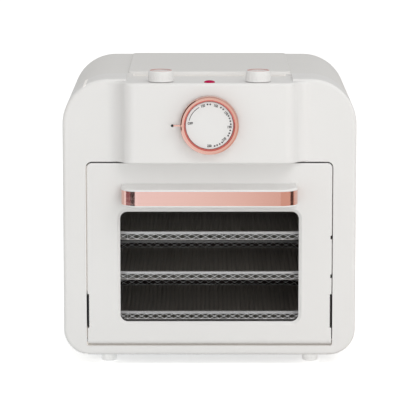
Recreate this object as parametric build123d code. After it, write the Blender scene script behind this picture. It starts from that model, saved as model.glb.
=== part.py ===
from build123d import *
import math
import os

# Air fryer toaster oven, a counter-top cooker with a drop-down front door.
# Sizes are in millimetres. +X is right, +Z is up and the front faces -Y.
# The origin is on the ground, in the middle of the whole outline.

# Body outline
BODY_W = 340.0
BODY_H = 324.5
BODY_DEPTH = 290.0
TOP_R = 53.0
BOTTOM_R = 30.5
FOOT_H = 12.0
FOOT_D = 18.0
FOOT_SIDE = 51.5
FOOT_FRONT = 30.0
FOOT_REAR_INSET = 36.0
FOOT_EDGE_R = 2.5

# Moulded front housing
HOUSING_DEPTH = 60.0
HOUSING_WALL = 3.0
HOUSING_EDGE_R = 4.0
BULGE_OUT = 22.0
BULGE_SIDE = 52.0
BULGE_SWEEP = 32.0
BULGE_CONCAVE_SHARE = 0.58
BULGE_EDGE_R = 3.0
DECK_DROP = 2.5
DECK_R = 12.0
DECK_SIDE_GAP = 1.0
SKIRT_T = 3.0
JAMB_DEPTH = 20.0
BORE_GAP = 0.3

# Sheet covers
SHELL_T = 1.2
COVER_T = 3.5
COVER_EDGE_R = 1.5
TOP_COVER_SIDE = 75.0
TOP_COVER_LAP = 4.0
TOP_COVER_END_GAP = 10.0
TOP_COVER_RISE = 2.4
TOP_COVER_R = 7.0
TOP_COVER_EDGE_R = 1.2
SEAM_SIDE = 37.0
VENT_W = 4.2
VENT_L = 34.0
VENT_PITCH = 16.0
VENT_UP = 44.0
VENT_FROM_END = 100.0
BASE_SLOT_L = 56.0
BASE_SLOT_X = 48.0
BASE_SLOT_FRONT = 110.0
BASE_SLOT_PITCH = 20.0
LOUVRE_W = 3.0
LOUVRE_L = 72.0
LOUVRE_X = 52.0
LOUVRE_UP = 26.0
LOUVRE_PITCH = 8.0

# Cord inlet and the screws of the rear cover
INLET_SIDE = 52.0
INLET_H = 46.0
INLET_R = 8.0
INLET_BORE_R = 3.4
INLET_LIP = 2.0
INLET_LIP_T = 4.0
SCREW_R = 3.6
SCREW_GAP = 0.4
SCREW_SINK = 1.8
SCREW_EDGE_R = 0.8
SCREW_LOW = 24.0
SCREW_SIDE = 32.0
SCREW_TOP_SIDE = 62.0
SCREW_TOP_DROP = 24.5

# Door
DOOR_SIDE = 27.7
DOOR_HEAD = 97.7
DOOR_BOTTOM = 12.8
DOOR_T = 17.0
DOOR_WALL = 3.0
DOOR_CORNER_R = 6.0
DOOR_LOW_R = 1.5
DOOR_EDGE_R = 1.2
SIDE_GAP = 1.0
TOP_GAP = 1.5
BOTTOM_GAP = 1.8
HINGE_R = 5.0
PIN_R = 2.5
PIN_FIT = 0.06
WINDOW_SIDE = 38.5
WINDOW_SILL = 27.0
WINDOW_HEAD = 57.2
WINDOW_R = 8.5
WINDOW_BEVEL_W = 3.5
WINDOW_BEVEL_D = 2.2
GLASS_T = 3.2
GLASS_LAP = 5.0
PANEL_T = 1.0
SEAL_W = 5.0
SEAL_T = 2.7
SEAL_R = 8.0
SEAL_LAP = 2.0
SEAT_GAP = 0.3
TUNNEL_GAP = 0.8
RIB_W = 9.0

# Handle
HANDLE_SIDE = 40.6
HANDLE_DROP = 36.8
HANDLE_H = 21.0
HANDLE_OUT = 34.0
HANDLE_RISE = 2.3
HANDLE_WALL = 6.0
HANDLE_TOP_T = 3.5
HANDLE_R = 20.0
HANDLE_EDGE_R = 1.6
BAND_H = 16.5
BAND_T = 1.2
HANDLE_SCREW_R = 1.5
HANDLE_SCREW_L = 7.5
HANDLE_SCREW_HEAD_R = 3.6
HANDLE_SCREW_HEAD_T = 2.2

# Hinge arms and their slots
ARM_T = 1.5
ARM_IN_R = 18.0
ARM_OUT_R = 52.0
ARM_NOTCH = 2.0
SLOT_UP = 19.5
SLOT_H = 40.2
SLOT_IN = 1.0
BRACKET_T = 2.0
BRACKET_UP = 36.0
BRACKET_DOWN = 5.0
SPRING_W = 8.0
SPRING_T = 1.2
SPRING_GAP = 0.2
PIN_IN = 9.5

# Cooking cavity
CAVITY_SIDE = 16.3
CAVITY_SILL = 18.2
CAVITY_HEAD = 30.8
CAVITY_REAR = 28.0
LINER_T = 1.0
FLANGE_T = 1.0

# Racks, hung between the cavity's floor and top
RIM_BELOW_TOP = 55.8
RIM_ABOVE_FLOOR = 14.2
RACK_SIDE = 5.0
RACK_FRONT = 28.0
RACK_REAR = 12.0
RACK_R = 24.0
RIM_WIRE_R = 1.6
TRAY_DEEP = 7.2
MESH_T = 0.8
MESH_PITCH = 31.0
MESH_BAR = 3.2
MESH_EDGE = 12.0
GUIDE_T = 1.0
GUIDE_UP = 8.0
LEDGE_W = 13.0
CRUMB_SIDE = 4.0
CRUMB_END = 5.0
CRUMB_T = 0.8
CRUMB_R = 6.0
CRUMB_GAP = 0.6

# Hot air fan, its housing and the heater
FAN_FORWARD = 1.0
FAN_ROOM = 31.0
FAN_HOUSING_H = 36.0
FAN_HOUSING_T = 1.0
FAN_HOUSING_EDGE_R = 12.0
FAN_LIP = 9.0
FAN_TIP_GAP = 32.0
FAN_HUB_R = 9.0
FAN_UP = 12.0
FAN_H = 14.0
FAN_PLATE_T = 1.0
BLADE_T = 1.2
FAN_SHAFT_R = 3.0
FAN_SHAFT_GAP = 1.5
GUARD_T = 1.2
GUARD_LAP = 4.0
GUARD_SPOKE = 5.0
HEATER_WALL_GAP = 16.0
HEATER_TUBE_R = 3.25
HEATER_UP = 9.0
HEATER_END = 9.0
COOLING_FAN_R = 44.0
COOLING_HUB_R = 8.0
COOLING_UP = 5.0
COOLING_H = 9.0
MOTOR_R = 29.0
MOTOR_H = 34.0
MOTOR_UP = 16.0
MOTOR_EAR = 7.0
MOTOR_BORE = 12.0
BRIDGE_GAP = 8.0
BRIDGE_HALF = 16.0
BRIDGE_T = 1.5
BRIDGE_FOOT = 10.0

# Dial
DIAL_DROP = 50.0
DIAL_R = 33.6
DIAL_PROUD = 12.0
DIAL_BAND_W = 5.1
DIAL_WALL = 2.2
DIAL_FACE_R = 27.1
DIAL_FACE_DEEP = 3.5
DIAL_FACE_T = 2.0
DIAL_GAP = 0.4
HUB_R = 5.0
HUB_T = 2.0
HUB_REACH = 20.0
POST_R = 2.5
POST_REACH = 30.0
POINTER_REACH = 42.6
POINTER_W = 1.9
POINTER_T = 2.0
POINTER_SINK = 0.8
THERMOSTAT_W = 44.0
THERMOSTAT_T = 28.0
THERMOSTAT_NECK = 6.0
THERMOSTAT_NECK_R = 9.0

# Top knobs
SWITCH_APART = 13.0
KNOB_Y = -4.0
KNOB_R = 14.9
KNOB_TOP_R = 14.4
KNOB_H = 12.6
KNOB_GAP = 0.5
KNOB_RIBS = 40
KNOB_SHAFT_R = 3.0
KNOB_SHAFT_IN = 7.0
SHAFT_REACH = 15.0
TRIM_IN_R = 11.6
TRIM_OUT_R = 12.7
TRIM_T = 1.5
TRIM_SINK = 1.2
CAP_T = 1.0
LENS_R = 6.5
LENS_Y = -12.0
LENS_DOME = 2.8
LAMP_R = 6.0
LAMP_H = 12.0
SWITCH_W = 34.0
SWITCH_D = 30.0
SWITCH_H = 24.0
TIMER_W = 42.0
TIMER_D = 36.0
TIMER_H = 32.0
SWITCH_NECK = 5.0
SWITCH_NECK_R = 8.0
SWITCH_BACK = 4.0

# Derived places
FRONT_Y = (max(BULGE_OUT + DIAL_PROUD, HANDLE_OUT) - BODY_DEPTH) / 2
FOOT_X = BODY_W / 2 - FOOT_SIDE
BULGE_BASE_W = BODY_W - 2 * BULGE_SIDE
BULGE_FLAT_W = BULGE_BASE_W - 2 * BULGE_SWEEP
TOP_COVER_W = BODY_W - 2 * TOP_COVER_SIDE
TOP_COVER_FRONT = HOUSING_DEPTH - TOP_COVER_LAP
BOTTOM_SEAM = BODY_W / 2 - SEAM_SIDE
INLET_X = BODY_W / 2 - INLET_SIDE
DOOR_W = BODY_W - 2 * DOOR_SIDE
DOOR_TOP = BODY_H - DOOR_HEAD
DOOR_H = DOOR_TOP - DOOR_BOTTOM
WINDOW_W = DOOR_W - 2 * WINDOW_SIDE
WINDOW_BOTTOM = DOOR_BOTTOM + WINDOW_SILL
WINDOW_H = DOOR_TOP - WINDOW_HEAD - WINDOW_BOTTOM
HANDLE_W = DOOR_W - 2 * HANDLE_SIDE
HANDLE_Z = DOOR_TOP - HANDLE_DROP
OPEN_W = DOOR_W + 2 * SIDE_GAP
OPEN_BOTTOM = DOOR_BOTTOM - BOTTOM_GAP
OPEN_TOP = DOOR_TOP + TOP_GAP
SLOT_BOTTOM = DOOR_BOTTOM + SLOT_UP
SLOT_TOP = SLOT_BOTTOM + SLOT_H
CAVITY_W = DOOR_W - 2 * CAVITY_SIDE
CAVITY_FLOOR = DOOR_BOTTOM + CAVITY_SILL
CAVITY_TOP = DOOR_TOP - CAVITY_HEAD
CAVITY_BACK = BODY_DEPTH - CAVITY_REAR
RIM_Z_TOP = CAVITY_TOP - RIM_BELOW_TOP
RIM_Z_BOTTOM = CAVITY_FLOOR + RIM_ABOVE_FLOOR
RIM_Z_MIDDLE = (RIM_Z_TOP + RIM_Z_BOTTOM) / 2
RACK_W = CAVITY_W - 2 * RACK_SIDE
RACK_DEPTH = CAVITY_BACK - RACK_REAR - RACK_FRONT
FAN_Y = (JAMB_DEPTH + CAVITY_BACK) / 2 - FAN_FORWARD
FAN_HOUSING_R = (CAVITY_BACK - JAMB_DEPTH) / 2 - FAN_ROOM
FAN_R = FAN_HOUSING_R - FAN_TIP_GAP
HEATER_R = FAN_HOUSING_R - HEATER_WALL_GAP
DECK_Z = BODY_H - DECK_DROP
DECK_W = TOP_COVER_W + 2 * DECK_SIDE_GAP
DIAL_Z = BODY_H - DIAL_DROP
KNOB_X = THERMOSTAT_W / 2 + SWITCH_APART + TIMER_W / 2
AXIS_Z = DOOR_BOTTOM + HINGE_R
AXIS_Y = HINGE_R
SHELL_END = BODY_DEPTH - COVER_T

os.makedirs("parts", exist_ok=True)
NODES = {}


def y_at(depth):
    return FRONT_Y + depth


def z_at(height):
    return FOOT_H + height


def prism_y(sketch, d0, d1):
    # A sketch in X and height, run from depth d0 back to depth d1
    plane = Plane(origin=(0, y_at(d1), FOOT_H), x_dir=(1, 0, 0), z_dir=(0, -1, 0))
    return extrude(plane * sketch, amount=d1 - d0)


def prism_z(sketch, h0, h1):
    # A sketch in X and depth, run from height h0 up to height h1
    plane = Plane(origin=(0, FRONT_Y, z_at(h0)), x_dir=(1, 0, 0), z_dir=(0, 0, 1))
    return extrude(plane * sketch, amount=h1 - h0)


def prism_x(sketch, x0, x1):
    # A sketch in depth and height, run from x0 to x1
    plane = Plane(origin=(x0, FRONT_Y, FOOT_H), x_dir=(0, 1, 0), z_dir=(1, 0, 0))
    return extrude(plane * sketch, amount=x1 - x0)


def block(x0, x1, d0, d1, h0, h1):
    mid = ((x0 + x1) / 2, y_at((d0 + d1) / 2), z_at((h0 + h1) / 2))
    return Pos(*mid) * Box(x1 - x0, d1 - d0, h1 - h0)


def rod_y(x, h, r, d0, d1):
    return Pos(x, y_at((d0 + d1) / 2), z_at(h)) * (Rot(90, 0, 0) * Cylinder(r, d1 - d0))


def rod_z(x, d, r, h0, h1):
    return Pos(x, y_at(d), z_at((h0 + h1) / 2)) * Cylinder(r, h1 - h0)


def rod_x(d, h, r, x0, x1):
    return Pos((x0 + x1) / 2, y_at(d), z_at(h)) * (Rot(0, 90, 0) * Cylinder(r, x1 - x0))


def both_sides(shape):
    return [shape, mirror(shape, about=Plane.YZ)]


def keep(name, *shapes):
    solids = []
    for shape in shapes:
        solids.extend(shape.solids())
    NODES[name] = solids[0] if len(solids) == 1 else Compound(solids)


def body_face(inset=0.0):
    face = Pos(0, BODY_H / 2) * Rectangle(BODY_W - 2 * inset, BODY_H - 2 * inset)
    face = fillet(face.vertices().group_by(Axis.Y)[-1], TOP_R - inset)
    return fillet(face.vertices().group_by(Axis.Y)[0], BOTTOM_R - inset)


def slab_face(w, h0, h1, r):
    return Pos(0, (h0 + h1) / 2) * RectangleRounded(w, h1 - h0, r)


def door_outline(side, low, high):
    # The door seen from the front, grown at its sides, bottom and top
    h0 = DOOR_BOTTOM - low
    h1 = DOOR_TOP + high
    face = Pos(0, (h0 + h1) / 2) * Rectangle(DOOR_W + 2 * side, h1 - h0)
    face = fillet(face.vertices().group_by(Axis.Y)[-1], max(DOOR_CORNER_R + side, 1.0))
    return fillet(face.vertices().group_by(Axis.Y)[0], max(DOOR_LOW_R + side, 1.0))


# Control bulge, drawn from above with its sides swept back by two arcs
def bulge_face(back, inset=0.0):
    reach = (BULGE_BASE_W - BULGE_FLAT_W) / 2
    turn = 2 * math.atan(BULGE_OUT / reach)
    both = reach / math.sin(turn)
    hollow_r = both * BULGE_CONCAVE_SHARE
    nose_r = both - hollow_r
    foot = BULGE_BASE_W / 2
    flat = BULGE_FLAT_W / 2
    mid = turn / 2

    def hollow(a):
        return (foot - hollow_r * math.sin(a), -hollow_r + hollow_r * math.cos(a))

    def nose(a):
        return (flat + nose_r * math.sin(a), -BULGE_OUT + nose_r - nose_r * math.cos(a))

    def left(p):
        return (-p[0], p[1])

    edges = [
        Line((-foot, back), (-foot, 0)),
        ThreePointArc((-foot, 0), left(hollow(mid)), left(hollow(turn))),
        ThreePointArc(left(nose(turn)), left(nose(mid)), (-flat, -BULGE_OUT)),
        Line((-flat, -BULGE_OUT), (flat, -BULGE_OUT)),
        ThreePointArc((flat, -BULGE_OUT), nose(mid), nose(turn)),
        ThreePointArc(hollow(turn), hollow(mid), (foot, 0)),
        Line((foot, 0), (foot, back)),
        Line((foot, back), (-foot, back)),
    ]
    face = make_face(edges)
    if inset:
        face = offset(face, amount=-inset)
    return face


# Front housing, one moulding with the door opening, the bulge and the deck
housing = prism_y(body_face(), 0, HOUSING_DEPTH)
front_rim = housing.faces().sort_by(Axis.Y)[0].edges()
housing = fillet(front_rim, HOUSING_EDGE_R)
bulge = prism_z(bulge_face(HOUSING_WALL), OPEN_TOP, DECK_Z)
nose_edges = [e for e in bulge.edges() if e.center().Y < y_at(-BULGE_OUT) + 0.6 and abs(e.tangent_at(0.5).Z) < 0.1]
bulge = fillet(nose_edges, BULGE_EDGE_R)
housing = housing + bulge
pocket = prism_y(body_face(HOUSING_WALL), HOUSING_WALL, HOUSING_DEPTH + 1)
inner_bulge = bulge_face(JAMB_DEPTH + HOUSING_WALL, HOUSING_WALL)
pocket = pocket + prism_z(inner_bulge, OPEN_TOP + HOUSING_WALL, DECK_Z - HOUSING_WALL)
jamb_face = door_outline(SIDE_GAP + HOUSING_WALL, BOTTOM_GAP + HOUSING_WALL, TOP_GAP + HOUSING_WALL)
pocket = pocket - prism_y(jamb_face, 0, JAMB_DEPTH)
deck_half = DECK_W / 2 + HOUSING_WALL
pocket = pocket - block(-deck_half, deck_half, -BULGE_OUT, HOUSING_DEPTH + 2, DECK_Z - HOUSING_WALL, BODY_H)
housing = housing - pocket
housing = housing - prism_y(door_outline(SIDE_GAP, BOTTOM_GAP, TOP_GAP), -1, JAMB_DEPTH + 1)
deck_front = -BULGE_OUT - 2
deck_back = TOP_COVER_FRONT
skirt_half = TOP_COVER_W / 2 - TOP_COVER_R
deck_cut = Pos(0, (deck_front + deck_back) / 2) * Rectangle(DECK_W, deck_back - deck_front)
deck_cut = fillet(deck_cut.vertices().group_by(Axis.Y)[0], DECK_R)
deck_cut = deck_cut + Pos(0, deck_front / 2 - 1) * Rectangle(BULGE_FLAT_W, -deck_front + 2)
skirt_seat = skirt_half + SEAT_GAP
deck_cut = deck_cut + Pos(0, deck_back + SKIRT_T / 2) * Rectangle(2 * skirt_seat, SKIRT_T + 2 * SEAT_GAP)
housing = housing - prism_z(deck_cut, DECK_Z, BODY_H + 1)
housing = housing - rod_y(0, DIAL_Z, HUB_R + BORE_GAP, -BULGE_OUT - 1, -BULGE_OUT + HOUSING_WALL + 1)
for side in (-1, 1):
    housing = housing - rod_z(side * KNOB_X, KNOB_Y, KNOB_SHAFT_R + BORE_GAP, DECK_Z - HOUSING_WALL - 1, DECK_Z + 1)
housing = housing - rod_z(0, LENS_Y, LENS_R, DECK_Z - HOUSING_WALL - 1, DECK_Z + 1)
jamb_out = OPEN_W / 2 + HOUSING_WALL
pin_out = jamb_out + BRACKET_T + SPRING_W
spring_r = PIN_R + SPRING_GAP + SPRING_T
for pin_hole in both_sides(rod_x(AXIS_Y, AXIS_Z, PIN_R + 0.02, OPEN_W / 2 - 1, jamb_out + 1)):
    housing = housing - pin_hole
for relief in both_sides(rod_x(AXIS_Y, AXIS_Z, spring_r + SEAT_GAP, jamb_out, pin_out + 1)):
    housing = housing - relief
keep("front_housing", housing)

# Shell over the top and sides, bent from sheet, with vent slots by the motor
shell = prism_y(body_face() - body_face(SHELL_T), HOUSING_DEPTH, SHELL_END)
shell = shell - block(-BOTTOM_SEAM, BOTTOM_SEAM, HOUSING_DEPTH - 1, SHELL_END + 1, -1, SHELL_T + 1)
for i in range(6):
    slot_d = SHELL_END - VENT_FROM_END + i * VENT_PITCH
    slot = Pos(slot_d, CAVITY_TOP + VENT_UP) * SlotOverall(VENT_L, VENT_W, rotation=90)
    shell = shell - prism_x(slot, -BODY_W / 2 - 1, BODY_W / 2 + 1)
keep("housing_shell", shell)

# Base plate between the two turned-in edges of the shell
base = block(-BOTTOM_SEAM, BOTTOM_SEAM, HOUSING_DEPTH, SHELL_END, 0, SHELL_T)
for side in (-1, 1):
    for i in range(6):
        slot = Pos(side * BASE_SLOT_X, BASE_SLOT_FRONT + i * BASE_SLOT_PITCH) * SlotOverall(BASE_SLOT_L, VENT_W)
        base = base - prism_z(slot, -1, SHELL_T + 1)
keep("base_plate", base)

# Raised cover on the top, with a skirt that drops to the deck at the front
cover_end = SHELL_END - TOP_COVER_END_GAP
cover_mid = (TOP_COVER_FRONT + cover_end) / 2
cover = prism_z(Pos(0, cover_mid) * RectangleRounded(TOP_COVER_W, cover_end - TOP_COVER_FRONT, TOP_COVER_R), BODY_H, BODY_H + TOP_COVER_RISE)
cover = fillet(cover.faces().sort_by(Axis.Z)[-1].edges(), TOP_COVER_EDGE_R)
skirt = block(-skirt_half, skirt_half, TOP_COVER_FRONT, TOP_COVER_FRONT + SKIRT_T, DECK_Z + SEAT_GAP, BODY_H)
keep("top_cover", cover + skirt)

# Rear cover with two fields of slanted louvre slots
rear = prism_y(body_face(), SHELL_END, BODY_DEPTH)
rear = fillet(rear.faces().sort_by(Axis.Y)[-1].edges(), COVER_EDGE_R)
louvre_mid = BODY_DEPTH - COVER_T / 2
for side in (-1, 1):
    for i in range(9):
        h = CAVITY_TOP + LOUVRE_UP + i * LOUVRE_PITCH
        louvre = Pos(side * LOUVRE_X, y_at(louvre_mid), z_at(h)) * (Rot(30, 0, 0) * Box(LOUVRE_L, COVER_T * 3, LOUVRE_W))
        rear = rear - louvre
rear = rear - rod_y(INLET_X, INLET_H, INLET_R, SHELL_END - 1, BODY_DEPTH + 1)

# Screws of the rear cover, their heads let into round seats
right_x = BODY_W / 2 - SCREW_SIDE
top_x = BODY_W / 2 - SCREW_TOP_SIDE
top_h = BODY_H - SCREW_TOP_DROP
mid_h = (SCREW_LOW + top_h) / 2
screw_spots = [(0, SCREW_LOW), (0, top_h)]
for side in (-1, 1):
    screw_spots += [(side * right_x, SCREW_LOW), (side * right_x, mid_h), (side * top_x, top_h)]
screws = []
seat_d = BODY_DEPTH - SCREW_SINK
for x, h in screw_spots:
    head = rod_y(x, h, SCREW_R, seat_d, BODY_DEPTH - 0.02)
    screws.append(fillet(head.faces().sort_by(Axis.Y)[-1].edges(), SCREW_EDGE_R))
    rear = rear - rod_y(x, h, SCREW_R + SCREW_GAP, seat_d, BODY_DEPTH + 1)
keep("rear_cover", rear)
keep("rear_screws", *screws)

inlet = rod_y(INLET_X, INLET_H, INLET_R - 0.02, SHELL_END - INLET_LIP_T, BODY_DEPTH - SEAT_GAP)
inlet = inlet + rod_y(INLET_X, INLET_H, INLET_R + INLET_LIP, SHELL_END - INLET_LIP_T, SHELL_END)
inlet = inlet - rod_y(INLET_X, INLET_H, INLET_BORE_R, SHELL_END - INLET_LIP_T / 2, BODY_DEPTH + 1)
keep("cord_inlet", inlet)

# Feet, one under each corner
FOOT_REAR = SHELL_END - FOOT_REAR_INSET
foot_solids = []
for side in (-1, 1):
    for d in (FOOT_FRONT, FOOT_REAR):
        foot = rod_z(side * FOOT_X, d, FOOT_D / 2, -FOOT_H, 0)
        foot = fillet(foot.faces().sort_by(Axis.Z)[0].edges(), FOOT_EDGE_R)
        foot_solids.append(foot)
keep("feet", *foot_solids)

# Cavity liner, a bent steel box behind a flange that backs the door gap
half = CAVITY_W / 2
liner = block(-half - LINER_T, half + LINER_T, JAMB_DEPTH, CAVITY_BACK + LINER_T, CAVITY_FLOOR - LINER_T, CAVITY_TOP + LINER_T)
flange = prism_y(jamb_face, JAMB_DEPTH, JAMB_DEPTH + FLANGE_T)
arm_in_x = DOOR_W / 2 - ARM_NOTCH
slot_in = arm_in_x - SLOT_IN
slot_out = OPEN_W / 2 + SLOT_IN
for slot in both_sides(block(slot_in, slot_out, JAMB_DEPTH - 1, JAMB_DEPTH + FLANGE_T + 1, AXIS_Z - 1, SLOT_TOP)):
    flange = flange - slot
for h in (RIM_Z_TOP, RIM_Z_MIDDLE):
    flange = flange - block(DOOR_W / 2 - 0.4, DOOR_W / 2 + 1.4, JAMB_DEPTH - 1, JAMB_DEPTH + FLANGE_T + 1, h - 2.5, h + 2.5)
liner = liner + flange
liner = liner - block(-half, half, JAMB_DEPTH - 1, CAVITY_BACK, CAVITY_FLOOR, CAVITY_TOP)
liner = liner - rod_z(0, FAN_Y, FAN_HOUSING_R - 3, CAVITY_TOP - 1, CAVITY_TOP + LINER_T + 1)
keep("cavity_liner", liner)


# Rack trays and their guides
def tray_floor(rim):
    return rim - RIM_WIRE_R - TRAY_DEEP


def guide(side_x):
    wall_in = side_x - GUIDE_T
    top = RIM_Z_TOP + GUIDE_UP
    plate = block(wall_in, side_x, RACK_FRONT, RACK_FRONT + RACK_DEPTH, tray_floor(RIM_Z_BOTTOM) - SEAT_GAP - GUIDE_T, top)
    for rim in (RIM_Z_TOP, RIM_Z_MIDDLE, RIM_Z_BOTTOM):
        h = tray_floor(rim) - SEAT_GAP
        plate = plate + block(side_x - LEDGE_W, side_x, RACK_FRONT, RACK_FRONT + RACK_DEPTH, h - GUIDE_T, h)
    return plate


right_guide = guide(half)
keep("rack_guide_right", right_guide)
keep("rack_guide_left", mirror(right_guide, about=Plane.YZ))

rack_mid = RACK_FRONT + RACK_DEPTH / 2


def rim_wire(rim):
    w = RACK_W - 2 * RIM_WIRE_R
    d = RACK_DEPTH - 2 * RIM_WIRE_R
    outer = Pos(0, rack_mid) * RectangleRounded(w, d, RACK_R)
    path = Plane(origin=(0, FRONT_Y, z_at(rim)), x_dir=(1, 0, 0), z_dir=(0, 0, 1)) * outer.wire()
    start = path @ 0
    section = Plane(origin=start, z_dir=path % 0) * Circle(RIM_WIRE_R)
    return sweep(section, path=path)


def diamond(w, h):
    return Polygon((-w / 2, 0), (0, -h / 2), (w / 2, 0), (0, h / 2))


def mesh_tray(name, rim):
    # A floor of open diamond mesh, and the mesh wall that stands on it under the rim wire
    w = RACK_W - 2 * RIM_WIRE_R
    d = RACK_DEPTH - 2 * RIM_WIRE_R
    low = tray_floor(rim)
    high = rim - RIM_WIRE_R - 0.02
    outer = Pos(0, rack_mid) * RectangleRounded(w, d, RACK_R)
    inner = Pos(0, rack_mid) * RectangleRounded(w - 2 * MESH_T, d - 2 * MESH_T, RACK_R - MESH_T)
    wall = prism_z(outer - inner, low + MESH_T, high)
    across = int((w - 2 * MESH_EDGE) // MESH_PITCH)
    deep = int((d - 2 * MESH_EDGE) // MESH_PITCH)
    hole = MESH_PITCH - MESH_BAR
    spots = []
    for i in range(across):
        for j in range(deep):
            x = (i - (across - 1) / 2) * MESH_PITCH
            y = rack_mid + (j - (deep - 1) / 2) * MESH_PITCH
            spots.append(Pos(x, y) * diamond(hole, hole))
            if i < across - 1 and j < deep - 1:
                spots.append(Pos(x + MESH_PITCH / 2, y + MESH_PITCH / 2) * diamond(hole, hole))
    keep(name + "_mesh", prism_z(outer - (Sketch() + spots), low, low + MESH_T))
    wall_h = high - low - MESH_T
    wall_hole = wall_h * 0.76
    wall_mid = low + MESH_T + wall_h / 2
    row = [Pos((i - (across - 1) / 2) * MESH_PITCH, wall_mid) * diamond(hole, wall_hole) for i in range(across)]
    wall = wall - prism_y(Sketch() + row, RACK_FRONT - 1, RACK_FRONT + RACK_DEPTH + 1)
    col = [Pos(rack_mid + (j - (deep - 1) / 2) * MESH_PITCH, wall_mid) * diamond(hole, wall_hole) for j in range(deep)]
    keep(name + "_wall", wall - prism_x(Sketch() + col, -RACK_W, RACK_W))


for name, rim in (("rack_top", RIM_Z_TOP), ("rack_middle", RIM_Z_MIDDLE), ("rack_bottom", RIM_Z_BOTTOM)):
    keep(name + "_rim", rim_wire(rim))
    mesh_tray(name, rim)

# Crumb tray on the cavity floor, under the lowest rack
crumb_low = CAVITY_FLOOR + SEAT_GAP
crumb_high = tray_floor(RIM_Z_BOTTOM) - SEAT_GAP - GUIDE_T - CRUMB_GAP
crumb_w = CAVITY_W - 2 * CRUMB_SIDE
crumb_d = CAVITY_BACK - JAMB_DEPTH - 2 * CRUMB_END
crumb_mid = JAMB_DEPTH + CRUMB_END + crumb_d / 2
crumb_in_w = crumb_w - 2 * CRUMB_T
crumb_in_d = crumb_d - 2 * CRUMB_T
crumb = prism_z(Pos(0, crumb_mid) * RectangleRounded(crumb_w, crumb_d, CRUMB_R), crumb_low, crumb_high)
crumb_hollow = Pos(0, crumb_mid) * RectangleRounded(crumb_in_w, crumb_in_d, CRUMB_R - CRUMB_T)
crumb = crumb - prism_z(crumb_hollow, crumb_low + CRUMB_T, crumb_high + 1)
keep("crumb_tray", crumb)

# Fan housing, a spun bowl over the round opening in the cavity top
bowl_low = CAVITY_TOP + LINER_T
bowl_top = bowl_low + FAN_HOUSING_H
bowl_t = FAN_HOUSING_T
bowl = rod_z(0, FAN_Y, FAN_HOUSING_R, bowl_low, bowl_top)
bowl = fillet(bowl.faces().sort_by(Axis.Z)[-1].edges(), FAN_HOUSING_EDGE_R)
hollow = rod_z(0, FAN_Y, FAN_HOUSING_R - bowl_t, bowl_low - 0.001, bowl_top - bowl_t)
hollow = fillet(hollow.faces().sort_by(Axis.Z)[-1].edges(), FAN_HOUSING_EDGE_R - bowl_t)
bowl = bowl + rod_z(0, FAN_Y, FAN_HOUSING_R + FAN_LIP, bowl_low, bowl_low + bowl_t)
bowl = bowl - hollow - rod_z(0, FAN_Y, FAN_SHAFT_R + FAN_SHAFT_GAP, bowl_top - 3, bowl_top + 1)
heater_h = bowl_low + HEATER_UP
HEATER_LEG_A = 14.0
leg_spots = []
for side in (-1, 1):
    a = math.radians(90 + side * HEATER_LEG_A)
    leg_spots.append((HEATER_R * math.cos(a), FAN_Y + HEATER_R * math.sin(a)))
for x, d in leg_spots:
    bowl = bowl - rod_z(x, d, HEATER_TUBE_R + BORE_GAP, bowl_top - FAN_HOUSING_EDGE_R - 3, bowl_top + 1)
keep("fan_housing", bowl)

# Tubular heater, one open ring with two upright ends through the bowl
ring = Pos(0, y_at(FAN_Y), z_at(heater_h)) * Torus(HEATER_R, HEATER_TUBE_R)
gap_cut = Pos(0, y_at(FAN_Y), z_at(heater_h)) * make_face(Polyline((0, 0), (leg_spots[0][0] * 3, (leg_spots[0][1] - FAN_Y) * 3), (leg_spots[1][0] * 3, (leg_spots[1][1] - FAN_Y) * 3), (0, 0)))
ring = ring - extrude(gap_cut, amount=HEATER_TUBE_R * 3, both=True)
for x, d in leg_spots:
    ring = ring + rod_z(x, d, HEATER_TUBE_R, heater_h, bowl_top + HEATER_END)
    ring = ring + Pos(x, y_at(d), z_at(heater_h)) * Sphere(HEATER_TUBE_R)
keep("heater_coil", ring)

# Guard below the fan, a pressed disc with three rings of curved slots
guard_low = CAVITY_TOP - GUARD_T
guard = rod_z(0, FAN_Y, FAN_HOUSING_R + GUARD_LAP, guard_low, CAVITY_TOP)
for low_share, high_share, count in ((0.2, 0.38, 8), (0.44, 0.63, 12), (0.7, 0.89, 16)):
    r0 = FAN_HOUSING_R * low_share
    r1 = FAN_HOUSING_R * high_share
    ring_face = Circle(r1) - Circle(r0)
    spokes = []
    for i in range(count):
        a = 360.0 / count * i
        spokes.append(Rot(0, 0, a) * Pos((r0 + r1) / 2, 0) * Rectangle((r1 - r0) * 1.5, GUARD_SPOKE))
    ring_face = ring_face - spokes
    guard = guard - prism_z(Pos(0, FAN_Y) * ring_face, guard_low - 1, CAVITY_TOP + 1)
keep("fan_guard", guard)


def fan_wheel(radius, hub_r, blades, h0, h1, plate_up):
    wheel = rod_z(0, FAN_Y, hub_r, h0, h1)
    plate_h = h1 - FAN_PLATE_T if plate_up else h0
    wheel = wheel + rod_z(0, FAN_Y, radius * 0.62, plate_h, plate_h + FAN_PLATE_T)
    for i in range(blades):
        blade = Pos(radius * 0.68, 0) * Rectangle(radius * 0.6, BLADE_T, rotation=24)
        wheel = wheel + prism_z(Pos(0, FAN_Y) * (Rot(0, 0, 360.0 / blades * i) * blade), h0, h1)
    wheel = wheel & rod_z(0, FAN_Y, radius, h0 - 1, h1 + 1)
    return wheel - rod_z(0, FAN_Y, FAN_SHAFT_R + 0.02, h0 - 1, h1 + 1)


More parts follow.
